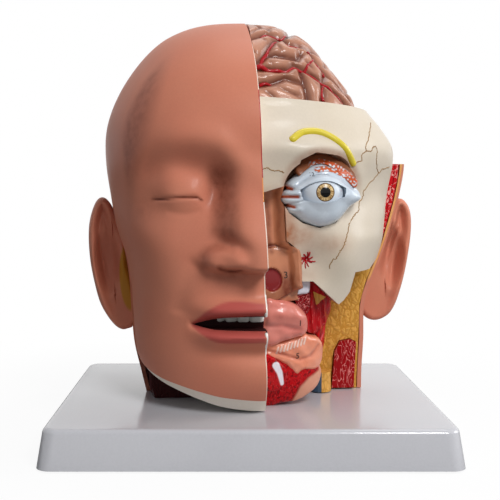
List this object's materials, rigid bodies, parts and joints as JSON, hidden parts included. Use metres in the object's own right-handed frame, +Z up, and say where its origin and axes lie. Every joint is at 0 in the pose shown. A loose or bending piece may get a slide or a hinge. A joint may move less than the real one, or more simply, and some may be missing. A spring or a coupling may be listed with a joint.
{
  "type": "anatomical head and brain model",
  "caption": "Life-size dissectible head on a board: a half-face mask pulls off, half of the brain lifts out of the skull, and the eye pulls out of its socket.",
  "frame": {"origin": "bottom centre of the board, on the surface that the feet stand on", "axes": "+Z up, -Y towards the front edge of the board, where the face looks, +X towards the side of the opened half of the head"},
  "size_m": [0.214, 0.184, 0.2333],
  "materials": {
    "board": "glossy pale grey moulding",
    "foot": "matt black rubber",
    "steel": "turned steel",
    "skin": "glossy terracotta pink paint over a plastic moulding",
    "bone": "satin cream",
    "tooth": "glossy white",
    "brain": "glossy brown pink",
    "stem": "glossy pale tan",
    "fat": "glossy ochre, lumpy",
    "muscle": "glossy red",
    "dark_muscle": "glossy dark red",
    "pink_tissue": "glossy dusky pink",
    "nerve": "glossy yellow",
    "eye_white": "glossy bluish white",
    "eyeball": "clear-coated, painted iris and pupil",
    "eye_muscle": "glossy orange red",
    "tongue": "glossy pink",
    "gland": "glossy orange pink with pale ridges",
    "nasal": "glossy brown orange",
    "palate": "glossy pale pink",
    "vein": "glossy dark blue"
  },
  "bodies": {
    "stand": {"base_board": "board", "base_foot_1": "foot", "base_foot_2": "foot", "base_foot_3": "foot", "base_foot_4": "foot", "base_screw_1": "steel", "base_screw_2": "steel", "base_screw_3": "steel", "rear_skin": "skin", "left_ear": "skin", "right_ear": "skin", "cranial_base": "bone", "facial_skull": "bone", "neck_core": "fat", "right_hemisphere": "brain", "cerebellum": "brain", "brain_stem": "stem", "brain_pin": "steel", "supraorbital_nerve": "nerve", "tongue": "tongue", "sublingual_gland": "gland", "jaw_section": "tooth", "mouth_floor_muscle": "muscle", "upper_molar": "tooth", "gum_section": "dark_muscle", "buccinator": "muscle", "medial_pterygoid": "muscle", "hard_palate": "palate", "nasal_wall": "nasal", "sternomastoid_left": "muscle", "sternomastoid_right": "dark_muscle", "jugular_vein": "vein", "parotid_fat": "fat", "masseter": "pink_tissue", "cheek_fat_layer": "fat", "temple_muscle": "muscle"},
    "face_mask": {"face_skin": "skin", "mask_core": "bone", "upper_teeth": "tooth", "lower_teeth": "tooth", "mask_pin_1": "steel", "mask_pin_2": "steel"},
    "brain_left": {"left_hemisphere": "brain"},
    "eye": {"eye_capsule": "eye_white", "eyeball": "eyeball", "levator_muscle": "eye_muscle"}
  },
  "joints": [
    {"name": "face_mask_pull", "type": "slide", "parent": "stand", "child": "face_mask", "axis": [0.0698, -0.9976, 0], "range_m": [0, 0.13]},
    {"name": "brain_left_lift", "type": "slide", "parent": "stand", "child": "brain_left", "axis": [-0.0319, -0.0022, 0.9995], "range_m": [0, 0.13]},
    {"name": "eye_pull", "type": "slide", "parent": "stand", "child": "eye", "axis": [0.0698, -0.9976, 0], "range_m": [0, 0.06]}
  ]
}
